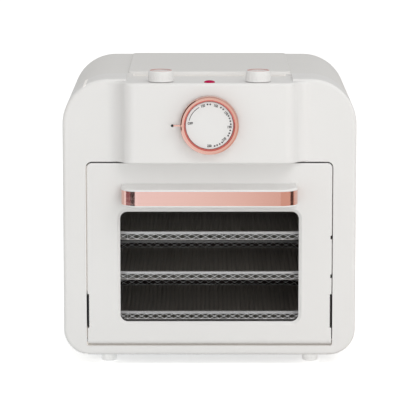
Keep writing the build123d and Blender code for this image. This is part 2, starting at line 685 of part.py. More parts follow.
fan_low = bowl_low + FAN_UP
cool_low = bowl_top + COOLING_UP
motor_low = cool_low + MOTOR_UP
keep("convection_fan", fan_wheel(FAN_R, FAN_HUB_R, 8, fan_low, fan_low + FAN_H, True))
keep("cooling_fan", fan_wheel(COOLING_FAN_R, COOLING_HUB_R, 8, cool_low, cool_low + COOLING_H, False))
keep("fan_shaft", rod_z(0, FAN_Y, FAN_SHAFT_R, fan_low - 3, motor_low + MOTOR_BORE))

# Motor on a bridge that straddles the cooling fan
ear_x = MOTOR_R + MOTOR_EAR
bridge_front = FAN_Y - BRIDGE_HALF
bridge_back = FAN_Y + BRIDGE_HALF
motor = rod_z(0, FAN_Y, MOTOR_R, motor_low, motor_low + MOTOR_H)
motor = motor + block(-ear_x, ear_x, bridge_front, bridge_back, motor_low + MOTOR_EAR, motor_low + MOTOR_H - MOTOR_EAR)
motor = motor - rod_z(0, FAN_Y, FAN_SHAFT_R + PIN_FIT, motor_low - 1, motor_low + MOTOR_BORE + 1)
keep("fan_motor", motor)

bridge_x = COOLING_FAN_R + BRIDGE_GAP
foot_x = bridge_x + BRIDGE_FOOT
bridge = block(-bridge_x, bridge_x, bridge_front, bridge_back, motor_low - BRIDGE_T, motor_low)
for leg in both_sides(block(bridge_x - BRIDGE_T, bridge_x, bridge_front, bridge_back, bowl_top, motor_low)):
    bridge = bridge + leg
for tab in both_sides(block(bridge_x - BRIDGE_T, foot_x, bridge_front, bridge_back, bowl_top, bowl_top + BRIDGE_T)):
    bridge = bridge + tab
bridge = bridge - rod_z(0, FAN_Y, COOLING_HUB_R, motor_low - BRIDGE_T - 1, motor_low + 1)
keep("motor_bridge", bridge)

# Switch bodies behind the fascia and below the deck
fascia_in = -BULGE_OUT + HOUSING_WALL
body_d = fascia_in + THERMOSTAT_NECK
body_half = THERMOSTAT_W / 2
thermostat = block(-body_half, body_half, body_d, body_d + THERMOSTAT_T, DIAL_Z - body_half, DIAL_Z + body_half)
thermostat = thermostat + rod_y(0, DIAL_Z, THERMOSTAT_NECK_R, fascia_in, body_d)
thermostat = thermostat - rod_y(0, DIAL_Z, HUB_R + PIN_FIT, fascia_in - 1, fascia_in + HUB_REACH + 2)
thermostat = thermostat - rod_y(0, DIAL_Z, POST_R + 0.02, fascia_in - 1, fascia_in + POST_REACH)
keep("thermostat", thermostat)

deck_under = DECK_Z - HOUSING_WALL
switch_top = deck_under - SWITCH_NECK


def switch_body(x, w, d, h):
    mid = KNOB_Y + SWITCH_BACK
    body = block(x - w / 2, x + w / 2, mid - d / 2, mid + d / 2, switch_top - h, switch_top)
    body = body + rod_z(x, KNOB_Y, SWITCH_NECK_R, switch_top, deck_under)
    return body - rod_z(x, KNOB_Y, KNOB_SHAFT_R + PIN_FIT, deck_under - SHAFT_REACH - 1, deck_under + 1)


keep("function_switch", switch_body(-KNOB_X, SWITCH_W, SWITCH_D, SWITCH_H))
keep("timer", switch_body(KNOB_X, TIMER_W, TIMER_D, TIMER_H))

# Dial: the ring, its pointer and hub turn about a printed face on a fixed post
ring_back = -BULGE_OUT - DIAL_GAP
ring_front = -BULGE_OUT - DIAL_PROUD
face_front = ring_front + DIAL_FACE_DEEP
face_back = face_front + DIAL_FACE_T
lip_back = face_back + DIAL_GAP
lip_r = DIAL_FACE_R + SEAT_GAP
band_in = DIAL_R - DIAL_BAND_W
wall_in = DIAL_R - DIAL_WALL
axis_dial = Axis((0, 0, z_at(DIAL_Z)), (0, 1, 0))


def turned_y(points, height):
    # A profile in radius and depth, turned about the dial's axis
    pts = [(r, y_at(d), z_at(height)) for r, d in points]
    return revolve(make_face(Polyline(*pts, close=True)), axis=axis_dial)


ring_points = [
    (DIAL_R, ring_back),
    (DIAL_R, ring_front + 1.6),
    (DIAL_R - 0.5, ring_front + 0.5),
    (DIAL_R - 1.6, ring_front),
    (band_in + 0.4, ring_front),
    (band_in, ring_front + 0.3),
    (lip_r, face_front),
    (lip_r, lip_back),
    (wall_in, lip_back),
    (wall_in, ring_back),
]
dial_ring = turned_y(ring_points, DIAL_Z)
notch_mid = -(DIAL_R + band_in) / 2
dial_ring = dial_ring - block(notch_mid - 4, notch_mid + 4, ring_front - 1, ring_front + 0.5, DIAL_Z - 1, DIAL_Z + 1)
keep("dial_ring", dial_ring)

hub = rod_y(0, DIAL_Z, wall_in - 0.1, lip_back, lip_back + HUB_T)
hub = hub + rod_y(0, DIAL_Z, HUB_R, lip_back, fascia_in + HUB_REACH)
hub = hub - rod_y(0, DIAL_Z, POST_R + PIN_FIT, lip_back - 1, fascia_in + HUB_REACH + 1)
keep("dial_hub", hub)

pointer_d = ring_front + POINTER_SINK
pointer_back = pointer_d + POINTER_T
pointer = block(-POINTER_REACH, -DIAL_R + 1, pointer_d, pointer_back, DIAL_Z - POINTER_W / 2, DIAL_Z + POINTER_W / 2)
pointer = pointer + rod_y(-POINTER_REACH, DIAL_Z, POINTER_W * 0.8, pointer_d, pointer_back)
pointer = pointer - rod_y(0, DIAL_Z, DIAL_R + 0.01, ring_front, ring_back)
keep("dial_pointer", pointer)

face = rod_y(0, DIAL_Z, DIAL_FACE_R, face_front, face_back)
keep("dial_face", face)
keep("dial_post", rod_y(0, DIAL_Z, POST_R, face_back, fascia_in + POST_REACH))

# Top knobs with a trim ring, an inset cap and a plain shaft
knob_low = DECK_Z + KNOB_GAP
knob_high = knob_low + KNOB_H


def knob_parts(x, prefix):
    pts = [
        (0, knob_low),
        (KNOB_R - 0.6, knob_low),
        (KNOB_R, knob_low + 0.6),
        (KNOB_TOP_R, knob_high - 1.0),
        (KNOB_TOP_R - 1.0, knob_high),
        (0, knob_high),
    ]
    place = Pos(x, y_at(KNOB_Y), FOOT_H)
    body = revolve(make_face(Polyline(*[(r, 0, h) for r, h in pts], close=True)), axis=Axis.Z)
    groove = Pos(0, 0, (knob_low + knob_high) / 2 + 0.6) * Box(1.2, 0.9, KNOB_H - 4.0)
    cuts = [Rot(0, 0, 360.0 / KNOB_RIBS * i) * (Pos(KNOB_R + 0.05, 0, 0) * groove) for i in range(KNOB_RIBS)]
    body = body - cuts
    body = body - Pos(0, 0, knob_high) * Cylinder(TRIM_OUT_R + 0.05, 2 * TRIM_SINK)
    body = body - Pos(0, 0, knob_low + KNOB_SHAFT_IN / 2) * Cylinder(KNOB_SHAFT_R + 0.02, KNOB_SHAFT_IN)
    keep(prefix, place * body)
    seat = knob_high - TRIM_SINK
    trim = Pos(0, 0, seat + TRIM_T / 2) * (Cylinder(TRIM_OUT_R, TRIM_T) - Cylinder(TRIM_IN_R, TRIM_T))
    keep(prefix + "_trim", place * trim)
    cap = Pos(0, 0, seat + CAP_T / 2) * Cylinder(TRIM_IN_R - 0.05, CAP_T)
    keep(prefix + "_cap", place * cap)
    keep(prefix + "_shaft", rod_z(x, KNOB_Y, KNOB_SHAFT_R, deck_under - SHAFT_REACH, knob_low + KNOB_SHAFT_IN))


knob_parts(-KNOB_X, "function_knob")
knob_parts(KNOB_X, "timer_knob")

# Lamp under a domed lens at the front of the deck
dome_r = (LENS_R ** 2 + LENS_DOME ** 2) / (2 * LENS_DOME)
lens = rod_z(0, LENS_Y, LENS_R - 0.02, deck_under, DECK_Z)
cap_ball = Pos(0, y_at(LENS_Y), z_at(DECK_Z + LENS_DOME - dome_r)) * Sphere(dome_r)
lens = lens + (cap_ball & rod_z(0, LENS_Y, LENS_R - 0.02, DECK_Z, DECK_Z + LENS_DOME + 1))
keep("indicator_lens", lens)
keep("indicator_lamp", rod_z(0, LENS_Y, LAMP_R, deck_under - LAMP_H, deck_under))

# Door frame, a moulding open at the back, with its lower front edge rounded about the hinge
door = prism_y(door_outline(0, 0, 0), 0, DOOR_T - PANEL_T)
roll = block(-DOOR_W, DOOR_W, -1, HINGE_R, 0, DOOR_BOTTOM + HINGE_R)
roll = roll - rod_x(AXIS_Y, AXIS_Z, HINGE_R, -DOOR_W, DOOR_W)
front_edges = door.faces().sort_by(Axis.Y)[0].edges()
upper = [e for e in front_edges if e.center().Z > z_at(DOOR_TOP - DOOR_CORNER_R)]
door = fillet(upper, DOOR_EDGE_R) - roll
rib = DOOR_WALL + RIB_W
inner = prism_y(door_outline(-DOOR_WALL, -DOOR_WALL, -DOOR_WALL), DOOR_WALL, DOOR_T)
inner = inner - rod_x(AXIS_Y, AXIS_Z, HINGE_R + DOOR_WALL - 1.0, -DOOR_W, DOOR_W)
for corner in both_sides(block(DOOR_W / 2 - rib, DOOR_W / 2, 0, DOOR_T, DOOR_BOTTOM, SLOT_TOP + 2)):
    inner = inner - corner
door = door - inner
window = slab_face(WINDOW_W, WINDOW_BOTTOM, WINDOW_BOTTOM + WINDOW_H, WINDOW_R)
door = door - prism_y(window, -1, DOOR_WALL + 1)
bevel_top = slab_face(WINDOW_W + 2 * WINDOW_BEVEL_W, WINDOW_BOTTOM - WINDOW_BEVEL_W, WINDOW_BOTTOM + WINDOW_H + WINDOW_BEVEL_W, WINDOW_R + WINDOW_BEVEL_W)
bevel_plane = Plane(origin=(0, y_at(0), FOOT_H), x_dir=(1, 0, 0), z_dir=(0, -1, 0))
bevel_back = Plane(origin=(0, y_at(WINDOW_BEVEL_D), FOOT_H), x_dir=(1, 0, 0), z_dir=(0, -1, 0))
door = door - loft([bevel_back * window, bevel_plane * bevel_top])
for notch in both_sides(block(arm_in_x, DOOR_W / 2 + 1, -1, DOOR_T + 1, SLOT_BOTTOM, SLOT_TOP)):
    door = door - notch
for bore in both_sides(rod_x(AXIS_Y, AXIS_Z, PIN_R + PIN_FIT, DOOR_W / 2 - PIN_IN - SEAT_GAP, DOOR_W / 2 + 1)):
    door = door - bore
handle_hole_x = (HANDLE_W - HANDLE_WALL) / 2
for hole in both_sides(rod_y(handle_hole_x, HANDLE_Z, HANDLE_SCREW_R + BORE_GAP * 2, -1, DOOR_WALL + 1)):
    door = door - hole
keep("door_frame", door)

glass_face = slab_face(WINDOW_W + 2 * GLASS_LAP, WINDOW_BOTTOM - GLASS_LAP, WINDOW_BOTTOM + WINDOW_H + GLASS_LAP, WINDOW_R + GLASS_LAP)
keep("window_glass", prism_y(glass_face, DOOR_WALL, DOOR_WALL + GLASS_T))

# Inner panel, with a folded tunnel that holds the glass from behind
def window_face(grow):
    return slab_face(WINDOW_W + 2 * grow, WINDOW_BOTTOM - grow, WINDOW_BOTTOM + WINDOW_H + grow, WINDOW_R + grow)


tunnel = window_face(TUNNEL_GAP + PANEL_T)
tunnel_hole = window_face(TUNNEL_GAP)
panel = prism_y(door_outline(0, 0, 0), DOOR_T - PANEL_T, DOOR_T)
panel = panel + prism_y(tunnel, DOOR_WALL + GLASS_T, DOOR_T - PANEL_T)
panel = panel - prism_y(tunnel_hole, DOOR_WALL + GLASS_T - 1, DOOR_T + 1)
for notch in both_sides(block(arm_in_x, DOOR_W / 2 + 1, -1, DOOR_T + 1, SLOT_BOTTOM, SLOT_TOP)):
    panel = panel - notch
keep("door_inner_panel", panel)

seal_out_w = CAVITY_W + 2 * (SEAL_W + SEAL_LAP)
seal_low = CAVITY_FLOOR - SEAL_W - SEAL_LAP / 2
seal_high = CAVITY_TOP + SEAL_W + SEAL_LAP
seal_in = slab_face(seal_out_w - 2 * SEAL_W, seal_low + SEAL_W, seal_high - SEAL_W, SEAL_R - SEAL_W / 2)
seal = slab_face(seal_out_w, seal_low, seal_high, SEAL_R) - seal_in
keep("door_seal", prism_y(seal, DOOR_T, DOOR_T + SEAL_T))


# Handle, a pull with a closed top and room for the fingers from below, and a metal band let into it
def bow_face(inset, back=0.0):
    w = HANDLE_W - 2 * inset
    d = HANDLE_OUT - inset
    face = Pos(0, (back - d) / 2) * Rectangle(w, d + back)
    return fillet(face.vertices().group_by(Axis.Y)[0], HANDLE_R - inset)


grip_low = HANDLE_Z - HANDLE_H / 2
grip_high = HANDLE_Z + HANDLE_H / 2
grip = prism_z(bow_face(0), grip_low, grip_high + HANDLE_RISE)
slope = HANDLE_RISE / HANDLE_OUT
over = grip_high + HANDLE_H
front_d = -HANDLE_OUT - 1
above = Polygon((front_d, grip_high - slope), (1, grip_high + HANDLE_RISE + slope), (1, over), (front_d, over), align=None)
grip = grip - prism_x(above, -HANDLE_W, HANDLE_W)
outer_edges = [e for e in grip.edges() if abs(e.tangent_at(0.5).Z) < 0.1 and e.center().Y < y_at(-0.5)]
grip = fillet(outer_edges, HANDLE_EDGE_R)
grip = grip - prism_z(bow_face(HANDLE_WALL, 1.0), grip_low - 1, grip_high - HANDLE_TOP_T)
band_low = HANDLE_Z - BAND_H / 2
band_high = HANDLE_Z + BAND_H / 2
grip = grip - (prism_z(bow_face(-1), band_low, band_high) - prism_z(bow_face(BAND_T + 0.02), band_low - 1, band_high + 1))
for hole in both_sides(rod_y(handle_hole_x, HANDLE_Z, HANDLE_SCREW_R, -HANDLE_SCREW_L - 0.5, 1)):
    grip = grip - hole
keep("handle_grip", grip)

band = prism_z(bow_face(0), band_low, band_high) - prism_z(bow_face(BAND_T), band_low - 1, band_high + 1)
keep("handle_band", band)

screw = rod_y(handle_hole_x, HANDLE_Z, HANDLE_SCREW_R - 0.02, -HANDLE_SCREW_L, DOOR_WALL)
screw = screw + rod_y(handle_hole_x, HANDLE_Z, HANDLE_SCREW_HEAD_R, DOOR_WALL, DOOR_WALL + HANDLE_SCREW_HEAD_T)
keep("handle_screws", *both_sides(screw))

# Quadrant arms on the door, and the pins, brackets and springs they turn on
arm_face = Circle(ARM_OUT_R) - Circle(ARM_IN_R)
wedge = Polygon((0, 0), (ARM_OUT_R * 2, ARM_OUT_R * 0.07), (ARM_OUT_R * 2, ARM_OUT_R * 2), (-3, ARM_OUT_R * 2), (-3, 0), align=None)
arm_face = arm_face & wedge
below = Pos(-AXIS_Y, SLOT_BOTTOM - AXIS_Z + SEAT_GAP) * Rectangle(DOOR_T + SEAT_GAP, ARM_OUT_R * 2, align=(Align.MIN, Align.MAX))
arm_face = arm_face - below
arm = prism_x(Pos(AXIS_Y, AXIS_Z) * arm_face, arm_in_x, arm_in_x + ARM_T)
keep("door_hinge_arms", *both_sides(arm))

pin = rod_x(AXIS_Y, AXIS_Z, PIN_R, DOOR_W / 2 - PIN_IN, pin_out)
keep("hinge_pins", *both_sides(pin))

bracket_front = HOUSING_WALL + SEAT_GAP
bracket = block(jamb_out, jamb_out + BRACKET_T, bracket_front, JAMB_DEPTH - 1, AXIS_Z - BRACKET_DOWN, AXIS_Z + BRACKET_UP)
bracket = bracket - rod_x(AXIS_Y, AXIS_Z, PIN_R + 0.02, jamb_out - 1, jamb_out + BRACKET_T + 1)
keep("hinge_brackets", *both_sides(bracket))

spring = rod_x(AXIS_Y, AXIS_Z, spring_r, jamb_out + BRACKET_T, pin_out - SEAT_GAP)
spring = spring - rod_x(AXIS_Y, AXIS_Z, PIN_R + SPRING_GAP, jamb_out, pin_out + 1)
keep("hinge_springs", *both_sides(spring))

for name, shape in NODES.items():
    export_step(shape, "parts/" + name + ".step")
print(len(NODES), "nodes")
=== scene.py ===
# %% [markdown]
# # An air fryer toaster oven, dressed
# The solid parts of the oven come in at their real size, already standing where they belong.
# This lesson adds the camera, the light and the finish of every surface. It also makes the pieces
# that are too fine to carry as plain solids: the diamond nets of the racks, the print on the dial,
# the domed lens of the lamp and the dot on the pointer.

# %% Load the solid parts
import bpy
import bmesh
import math
from mathutils import Matrix, Vector


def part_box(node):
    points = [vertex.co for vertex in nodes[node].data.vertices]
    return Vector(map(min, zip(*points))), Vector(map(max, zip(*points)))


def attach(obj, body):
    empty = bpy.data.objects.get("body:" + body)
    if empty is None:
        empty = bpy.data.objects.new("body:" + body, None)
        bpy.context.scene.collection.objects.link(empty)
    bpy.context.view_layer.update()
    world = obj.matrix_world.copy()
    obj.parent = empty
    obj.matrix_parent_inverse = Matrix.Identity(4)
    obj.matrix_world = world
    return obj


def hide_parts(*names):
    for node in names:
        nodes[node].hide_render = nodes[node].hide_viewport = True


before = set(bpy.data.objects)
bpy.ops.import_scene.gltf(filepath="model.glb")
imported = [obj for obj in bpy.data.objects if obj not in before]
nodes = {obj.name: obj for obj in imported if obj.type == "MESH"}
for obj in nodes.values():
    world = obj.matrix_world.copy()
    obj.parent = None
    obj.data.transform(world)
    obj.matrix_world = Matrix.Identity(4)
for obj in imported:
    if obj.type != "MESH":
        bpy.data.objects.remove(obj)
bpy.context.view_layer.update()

# %% [markdown]
# A long lens far away keeps the upright edges of the oven almost parallel, which is how shops
# photograph appliances. The camera stands a little above the oven and looks down by nine degrees,
# so the top cover and the rims of the knobs come into view.

# %% Camera
look_down = 0.1576
camera_data = bpy.data.cameras.new("shop_camera")
camera = bpy.data.objects.new("shop_camera", camera_data)
bpy.context.scene.collection.objects.link(camera)
camera_data.sensor_width = 36.0
camera_data.lens = 236.7
camera_data.clip_end = 50.0
camera.location = (-0.00173, -3.26065, 0.684)
camera.rotation_euler = (math.pi / 2 - look_down, 0.0, 0.0)
bpy.context.scene.camera = camera
print("camera", tuple(camera.location))

# %% [markdown]
# Every material and the world are small networks of nodes. Three helpers keep them short to write.
# The first adds a node and sets sockets by name, the second adds a sum or a comparison whose
# inputs are numbers or other nodes, and the third tells which rays may see the bright backdrop.


# %% Helpers for node networks
def add_node(tree, kind, settings=None):
    node = tree.nodes.new("ShaderNode" + kind)
    for name, value in (settings or {}).items():
        node.inputs[name].default_value = value
    return node


def maths(tree, operation, *values):
    node = tree.nodes.new("ShaderNodeMath")
    node.operation = operation
    for socket, value in zip(node.inputs, values):
        if isinstance(value, (int, float)):
            socket.default_value = value
        else:
            tree.links.new(value, socket)
    return node.outputs[0]


def sees_backdrop(tree):
    # 1 for rays from the camera, off a mirror or through glass, else 0
    rays = add_node(tree, "LightPath").outputs
    direct = maths(tree, "MAXIMUM", rays["Is Camera Ray"], rays["Is Glossy Ray"])
    return maths(tree, "MAXIMUM", direct, rays["Is Transmission Ray"])


# %% [markdown]
# The white round the oven is not light thrown on the oven: it is what the camera, shiny metal and
# clear glass see when they look past it. So the background can be white while a soft fill lights
# the oven at a plain level. Mirrors see the white dimmed, or the plating would burn out.

# %% World
world = bpy.data.worlds.new("studio")
bpy.context.scene.world = world
world.use_nodes = True
world_tree = world.node_tree
world_tree.nodes.clear()
fill = add_node(world_tree, "Background", {"Color": (1.0, 0.993, 0.98, 1.0), "Strength": 0.635})
backdrop = add_node(world_tree, "Background", {"Color": (1.0, 1.0, 1.0, 1.0)})
dimmer = add_node(world_tree, "Mix", {"A": 1.0, "B": 0.62})
world_tree.links.new(add_node(world_tree, "LightPath").outputs["Is Glossy Ray"], dimmer.inputs["Factor"])
world_tree.links.new(dimmer.outputs["Result"], backdrop.inputs["Strength"])
world_mix = add_node(world_tree, "MixShader")
world_tree.links.new(sees_backdrop(world_tree), world_mix.inputs["Fac"])
world_tree.links.new(fill.outputs[0], world_mix.inputs[1])
world_tree.links.new(backdrop.outputs[0], world_mix.inputs[2])
world_tree.links.new(world_mix.outputs[0], add_node(world_tree, "OutputWorld").inputs[0])
print("world with", len(world_tree.nodes), "nodes")

# %% [markdown]
# The oven stands on a wide pale floor. A flat grid of one face is enough for it. The floor takes the
# shadow as a plain matt surface does, and adds a steady glow for the rays that see the backdrop, so
# it meets the white without a horizon.


# %% Floor
def show(name, bm):
    mesh = bpy.data.meshes.new(name)
    bm.to_mesh(mesh)
    bm.free()
    thing = bpy.data.objects.new(name, mesh)
    bpy.context.scene.collection.objects.link(thing)
    return thing


bm = bmesh.new()
bmesh.ops.create_grid(bm, x_segments=1, y_segments=1, size=6.0)
floor = show("floor", bm)
floor_paint = bpy.data.materials.new("pale_floor")
floor_paint.use_nodes = True
floor_tree = floor_paint.node_tree
floor_tree.nodes.clear()
matt = add_node(floor_tree, "BsdfDiffuse", {"Color": (0.8, 0.8, 0.79, 1.0)})
glow = add_node(floor_tree, "Emission")
floor_glow = maths(floor_tree, "MULTIPLY", sees_backdrop(floor_tree), 0.62)
floor_tree.links.new(floor_glow, glow.inputs["Strength"])
lit_floor = add_node(floor_tree, "AddShader")
floor_tree.links.new(matt.outputs[0], lit_floor.inputs[0])
floor_tree.links.new(glow.outputs[0], lit_floor.inputs[1])

# %% [markdown]
# The flat metal band on the handle mirrors the worktop. In place of the plain floor, mirrors see a
# sweep of light that fades and warms from left to right, which gives the band its slow change from
# pale pink to copper.

# %% The sweep that mirrors see
across = add_node(floor_tree, "SeparateXYZ")
floor_tree.links.new(add_node(floor_tree, "TexCoord").outputs["Object"], across.inputs[0])
reach = add_node(floor_tree, "MapRange", {"From Min": -0.16, "From Max": 0.18})
floor_tree.links.new(across.outputs["X"], reach.inputs["Value"])
tones = add_node(floor_tree, "ValToRGB")
tones.color_ramp.elements[0].color = (0.84, 0.93, 1.0, 1.0)
tones.color_ramp.elements[1].color = (0.60, 0.47, 0.41, 1.0)
tones.color_ramp.elements.new(0.5).color = (0.75, 0.78, 0.78, 1.0)
floor_tree.links.new(reach.outputs["Result"], tones.inputs["Fac"])
sweep = add_node(floor_tree, "Emission", {"Strength": 1.25})
floor_tree.links.new(tones.outputs["Color"], sweep.inputs["Color"])
choose = add_node(floor_tree, "MixShader")
floor_tree.links.new(add_node(floor_tree, "LightPath").outputs["Is Glossy Ray"], choose.inputs["Fac"])
floor_tree.links.new(lit_floor.outputs[0], choose.inputs[1])
floor_tree.links.new(sweep.outputs[0], choose.inputs[2])
floor_tree.links.new(choose.outputs[0], add_node(floor_tree, "OutputMaterial").inputs["Surface"])
floor.data.materials.append(floor_paint)
print("floor paint with", len(floor_tree.nodes), "nodes")

# %% [markdown]
# Four soft lamps do the work: a wide low one in front for the face of the oven, the feet and the
# cavity behind the glass, one high in front for the deck and the top of the handle, one at the right
# for that side of the bulge, and a faint one at the left, where the hollow keeps a gentle shade.
# Neither the camera nor mirrors see the lamps, so plating shows only the sweep and the backdrop.


# %% Lamps
def soft_lamp(name, place, size, power):
    target = Vector((0.0, 0.0, 0.15))
    data = bpy.data.lights.new(name, "AREA")
    data.shape = "RECTANGLE"
    data.size, data.size_y = size
    data.energy = power
    lamp = bpy.data.objects.new(name, data)
    bpy.context.scene.collection.objects.link(lamp)
    lamp.location = place
    lamp.rotation_euler = (target - Vector(place)).to_track_quat("-Z", "Y").to_euler()
    lamp.visible_camera = False
    lamp.visible_glossy = False


soft_lamp("front_lamp", (0.45, -2.7, 0.3), (2.0, 0.5), 14.5)
soft_lamp("high_lamp", (0.9, -1.7, 1.9), (1.4, 1.2), 13.5)
soft_lamp("right_lamp", (1.9, -0.7, 0.8), (1.4, 1.2), 2.0)
soft_lamp("left_lamp", (-1.9, -0.7, 0.8), (1.4, 1.2), 1.2)
print(len(bpy.data.lights), "lamps set")

# %% [markdown]
# Polished metal reads as metal by its dark edges. Upright dark cards stand at the sides where only
# reflections find them. Each spans an arc from one compass turn to another, counted in degrees
# from the camera's side towards the right, and throws no light and no shadow.


# %% Dark cards
def dark_card(name, start, end, tint):
    away = 1.2
    tall = 1.1
    bm = bmesh.new()
    corners = []
    for turn in (math.radians(start), math.radians(end)):
        corners.append(bm.verts.new((away * math.sin(turn), -away * math.cos(turn), 0.001)))
    grown = bmesh.ops.extrude_edge_only(bm, edges=[bm.edges.new(corners)])
    upper = [v for v in grown["geom"] if isinstance(v, bmesh.types.BMVert)]
    bmesh.ops.translate(bm, verts=upper, vec=(0, 0, tall))
    card = show(name, bm)
    paint = bpy.data.materials.new(name + "_paint")
    paint.use_nodes = True
    base = paint.node_tree.nodes["Principled BSDF"]
    base.inputs["Base Color"].default_value = (0.0, 0.0, 0.0, 1.0)
    base.inputs["Specular IOR Level"].default_value = 0.0
    base.inputs["Emission Color"].default_value = (*tint, 1.0)
    base.inputs["Emission Strength"].default_value = 1.0
    card.data.materials.append(paint)
    card.visible_camera = False
    card.visible_diffuse = False
    card.visible_shadow = False
    card.visible_transmission = False
    print(name, "from", start, "to", end, "degrees")


dark_card("left_card_front", -25, -52, (0.03, 0.02, 0.02))
dark_card("left_card_side", -52, -86, (0.26, 0.12, 0.14))
dark_card("right_card", 64, 90, (0.05, 0.03, 0.03))

# %% [markdown]
# Most finishes here share one recipe: a Principled shader whose colour drifts very slightly over
# the part, whose roughness varies with a fine noise, and whose surface is broken by a bump too
# small to see by itself. What changes is the colour, the metal, and how fine the grain is.


# %% Finish recipe
def finish(name, colour, rough, metal=0.0, drift=0.02, grain=900.0, bump=0.02,
           rough_drift=0.05, stretch=(1, 1, 1), glow=0.0):
    mat = bpy.data.materials.new(name)
    mat.use_nodes = True
    tree = mat.node_tree
    link = tree.links.new
    base = tree.nodes["Principled BSDF"]
    base.inputs["Metallic"].default_value = metal
    base.inputs["Emission Color"].default_value = (*colour, 1.0)
    base.inputs["Emission Strength"].default_value = glow
    place = add_node(tree, "TexCoord").outputs["Object"]
    wide = add_node(tree, "TexNoise", {"Scale": 9.0, "Detail": 2.0})
    link(place, wide.inputs["Vector"])
    shade = add_node(tree, "ValToRGB")
    for end, position, change in ((0, 0.35, 1 - drift), (1, 0.65, 1 + drift)):
        element = shade.color_ramp.elements[end]
        element.position = position
        element.color = (*[min(c * change, 1.0) for c in colour], 1.0)
    link(wide.outputs["Fac"], shade.inputs["Fac"])
    link(shade.outputs["Color"], base.inputs["Base Color"])
    fit = add_node(tree, "Mapping", {"Scale": stretch})
    link(place, fit.inputs["Vector"])
    fine = add_node(tree, "TexNoise", {"Scale": grain, "Detail": 3.0})
    link(fit.outputs["Vector"], fine.inputs["Vector"])
    spread = add_node(tree, "MapRange", {"From Min": 0.3, "From Max": 0.7})
    spread.inputs["To Min"].default_value = max(rough - rough_drift, 0.02)
    spread.inputs["To Max"].default_value = rough + rough_drift
    link(fine.outputs["Fac"], spread.inputs["Value"])
    link(spread.outputs["Result"], base.inputs["Roughness"])
    dent = add_node(tree, "Bump", {"Strength": bump, "Distance": 0.0004})
    link(fine.outputs["Fac"], dent.inputs["Height"])
    link(dent.outputs["Normal"], base.inputs["Normal"])
    return mat


# %% [markdown]
# The body is white moulded plastic in front and powder-coated steel behind, a shade warmer than pure
# white. The feet are brighter and glow faintly: a painted glow that stands for the light the worktop
# throws up at them.

# %% White finishes
white_moulding = finish("white_moulding", (0.80, 0.793, 0.782), 0.36, grain=1200, bump=0.03, drift=0.006)
white_coat = finish("white_powder_coat", (0.78, 0.77, 0.75), 0.42, grain=2200, bump=0.06, drift=0.008)
# The glow on the feet is painted light, standing in for light thrown up from the worktop.
white_foot = finish("white_foot_rubber_painted_glow", (0.95, 0.95, 0.94), 0.5, bump=0.04, drift=0.01, glow=0.2)
knob_cap = finish("knob_cap_pearl", (0.80, 0.765, 0.75), 0.25, grain=1500, drift=0.01)
dial_white = finish("dial_face_white", (0.80, 0.797, 0.788), 0.4, grain=1500, bump=0.01, drift=0.005)
print("white finishes made")

# %% [markdown]
# The rose gold is a thin plating on metal, so it is all metal in the shader. On the flat band of the
# handle the grain is drawn out sideways, as a brush leaves it. The rings under the knobs' caps are a
# duller plating, and the lens is a deep crimson that hardly mirrors anything.

# %% Rose gold and crimson
rose_gold = finish("rose_gold_plate", (0.80, 0.46, 0.38), 0.1, metal=1.0, grain=240, rough_drift=0.02)
rose_band = finish("rose_gold_band", (0.82, 0.50, 0.43), 0.12, metal=1.0, grain=220, bump=0.09,
                   rough_drift=0.04, stretch=(0.03, 0.03, 5))
dusty_rose = finish("dusty_rose_plate", (0.66, 0.34, 0.31), 0.3, metal=0.4, grain=300, rough_drift=0.03)
lens_red = finish("lens_crimson", (0.44, 0.0, 0.065), 0.12, grain=400, drift=0.1)
lens_red.node_tree.nodes["Principled BSDF"].inputs["Specular IOR Level"].default_value = 0.05
print("plated finishes and lens made")

# %% [markdown]
# Inside, the cavity has a dark enamel that hides stains, the guides and the fan are bare steel, and
# the heater's tube has a skin of oxide. The parts that work out of sight are black or grey.

# %% Finishes of the inside
dark_enamel = finish("dark_enamel", (0.030, 0.019, 0.015), 0.34, grain=700, bump=0.05, drift=0.35,
                     rough_drift=0.1)
bare_steel = finish("bare_steel", (0.56, 0.56, 0.57), 0.3, metal=1.0, grain=500, bump=0.06,
                    drift=0.05, stretch=(0.1, 1, 4))
oxide_tube = finish("oxidised_tube", (0.16, 0.13, 0.11), 0.5, metal=0.7, grain=600, bump=0.1, drift=0.3)
black_mould = finish("black_moulding", (0.02, 0.02, 0.021), 0.5, bump=0.08, drift=0.2)
grey_paint = finish("motor_paint", (0.2, 0.2, 0.21), 0.45, grain=700, bump=0.08, drift=0.1)
silicone = finish("silicone_seal", (0.06, 0.06, 0.062), 0.6, grain=800, bump=0.05, drift=0.15)
print_ink = finish("print_ink", (0.012, 0.012, 0.013), 0.7, grain=1500, drift=0.1)
print("inside finishes made")

# %% [markdown]
# The racks are bright chromed wire. Only their front is lit through the window, so a faint glow
# stands for that light on the rims and the walls and dies out a few centimetres behind the glass.

# %% Bright wire
chromed_wire = finish("chromed_wire", (0.90, 0.91, 0.94), 0.24, metal=0.4, grain=700, drift=0.03, glow=0.2)
bright_mesh = finish("bright_mesh", (0.88, 0.89, 0.92), 0.4, grain=700, drift=0.05, glow=0.45)
floor_mesh_wire = finish("floor_mesh", (0.62, 0.58, 0.54), 0.36, metal=0.7, grain=700, drift=0.05)


def own_place(tree):
    # The part's own coordinates, which the recipe has already brought in
    place = next(n for n in tree.nodes if n.bl_idname == "ShaderNodeTexCoord")
    return place.outputs["Object"]


def place_of(tree):
    # The same coordinates, split into X, Y and Z
    split = add_node(tree, "SeparateXYZ")
    tree.links.new(own_place(tree), split.inputs[0])
    return split.outputs


